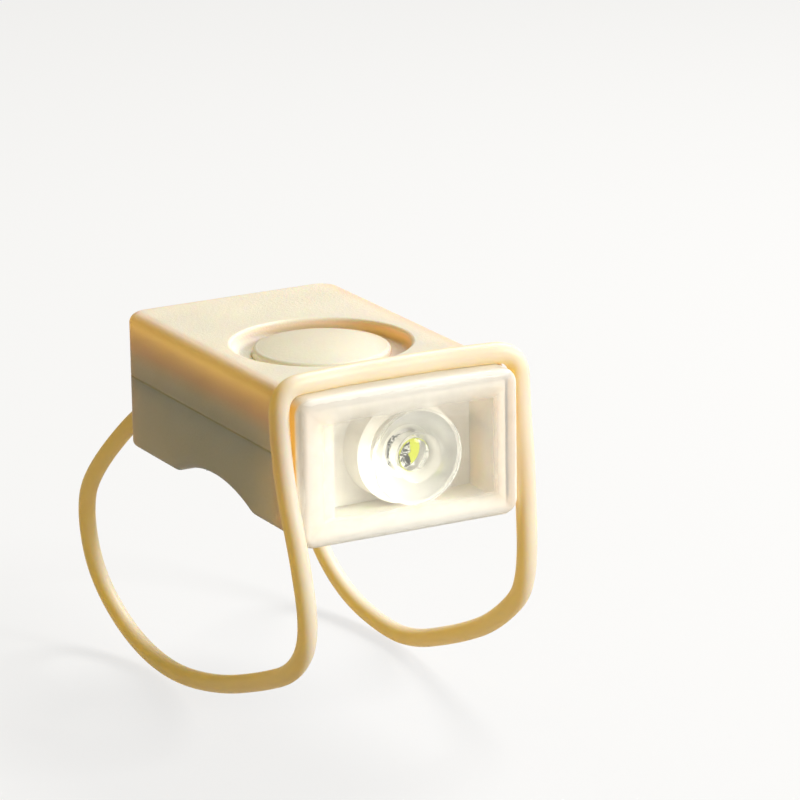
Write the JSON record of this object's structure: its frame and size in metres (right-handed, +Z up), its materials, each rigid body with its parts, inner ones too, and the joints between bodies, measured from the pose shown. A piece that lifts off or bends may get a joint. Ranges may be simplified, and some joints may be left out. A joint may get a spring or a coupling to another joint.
{
  "type": "bicycle headlight",
  "caption": "Small rectangular handlebar light with a clear front cap, a round push button in a dish on top, and an elastic loop band that holds it on a round bar.",
  "frame": {"origin": "middle of the arch under the case, on the face of the rubber pad that rests on the handlebar", "axes": "+X across the light to the right of someone facing its lens, +Y from the lens to the rear, +Z up"},
  "size_m": [0.0354, 0.066, 0.0483],
  "materials": {
    "case": "cream, finely textured",
    "button": "cream, a little warmer and softer than the case",
    "clear": "clear, polished",
    "optic": "clear, polished, moulded",
    "band": "cream translucent silicone, satin",
    "pad": "black, matte",
    "seal": "black, matte",
    "white_board": "white solder resist",
    "led_base": "white, glossy",
    "led_glow": "yellow-green, satin",
    "holder": "white, satin",
    "circuit_board": "green solder resist",
    "chip": "black, matte",
    "inductor": "dark grey ferrite",
    "capacitor": "tan ceramic with plain ends",
    "resistor": "black ceramic with plain ends",
    "tin": "tinned",
    "contact": "nickel-plated spring strip",
    "cell": "stainless steel can",
    "inner_plastic": "black, matte",
    "switch_body": "black, satin",
    "plunger": "red, satin",
    "red_wire": "red silicone insulation",
    "black_wire": "black silicone insulation",
    "screw": "zinc-plated"
  },
  "bodies": {
    "root": {"upper_shell": "case", "lower_shell": "case", "front_cap": "clear", "cap_gasket": "seal", "case_gasket": "seal", "saddle_pad": "pad", "button_seal": "seal", "tactile_switch": "switch_body", "switch_terminals": "tin", "battery_tray": "inner_plastic", "battery_lower": "cell", "battery_upper": "cell", "lower_contact": "contact", "upper_contact": "contact", "main_board": "circuit_board", "driver_chip": "chip", "chip_leads": "tin", "power_inductor": "inductor", "chip_capacitors": "capacitor", "chip_resistors": "resistor", "led_board": "white_board", "led_package": "led_base", "led_phosphor": "led_glow", "collimator_lens": "optic", "lens_holder": "holder", "lead_positive": "red_wire", "lead_negative": "black_wire", "case_screws": "screw", "board_screws": "screw", "mounting_band": "band"},
    "button": {"push_button": "button"},
    "plunger": {"switch_plunger": "plunger"}
  },
  "joints": [
    {"name": "button_press", "type": "slide", "parent": "root", "child": "button", "axis": [0, 0, -1], "range_m": [0, 0.0005], "stiffness_N_per_m": 2000, "springref_m": -0.0002},
    {"name": "switch_press", "type": "slide", "parent": "root", "child": "plunger", "axis": [0, 0, -1], "range_m": [0, 0.0005]}
  ],
  "couplings": [
    {"joint": "switch_press", "follows": "button_press", "ratio": 1}
  ]
}
